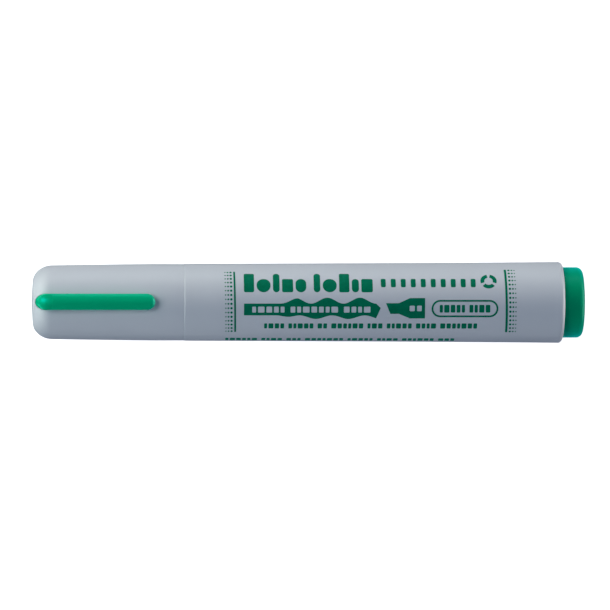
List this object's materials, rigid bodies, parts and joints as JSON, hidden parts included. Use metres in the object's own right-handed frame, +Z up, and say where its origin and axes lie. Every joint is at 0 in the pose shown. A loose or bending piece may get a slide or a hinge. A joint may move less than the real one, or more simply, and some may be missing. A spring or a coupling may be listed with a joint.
{
  "type": "whiteboard marker",
  "caption": "Capped whiteboard marker with a springy pocket clip, a chisel nib, a fibre reservoir and a coloured tail plug.",
  "frame": {"origin": "Lowest point of the marker lying down, under the middle of its length, on its plane of symmetry.", "axes": "+X runs along the marker from the closed cap to the tail, +Z is up and out through the clip, and Y is level across the marker."},
  "size_m": [0.136, 0.02, 0.022],
  "materials": {
    "pale_shell": "satin moulded polypropylene, pale blue-grey",
    "natural_liner": "soft natural polyethylene",
    "green_plastic": "satin moulded polypropylene, ink green",
    "holder_plastic": "smooth moulded polypropylene",
    "inked_felt": "bonded polyester fibre, ground to a chisel and soaked with green ink",
    "inked_fibre": "bundled polyester fibre, soaked with green ink",
    "clear_film": "thin clear film"
  },
  "bodies": {
    "barrel_body": {"barrel": "pale_shell", "nib_holder": "holder_plastic", "nib": "inked_felt", "reservoir_core": "inked_fibre", "reservoir_film": "clear_film", "tail_plug": "green_plastic"},
    "cap_body": {"cap_shell": "pale_shell", "inner_cap": "natural_liner", "clip_base": "green_plastic"},
    "clip_body": {"clip_arm": "green_plastic"}
  },
  "joints": [
    {"name": "cap_slide", "type": "slide", "parent": "barrel_body", "child": "cap_body", "axis": [-1, 0, 0], "range_m": [0, 0.036]},
    {"name": "clip_flex", "type": "hinge", "parent": "cap_body", "child": "clip_body", "pos_m": [-0.06263, 0, 0.02101], "axis": [0, -1, 0], "range_deg": [0, 5], "stiffness_Nm_per_rad": 0.6}
  ]
}
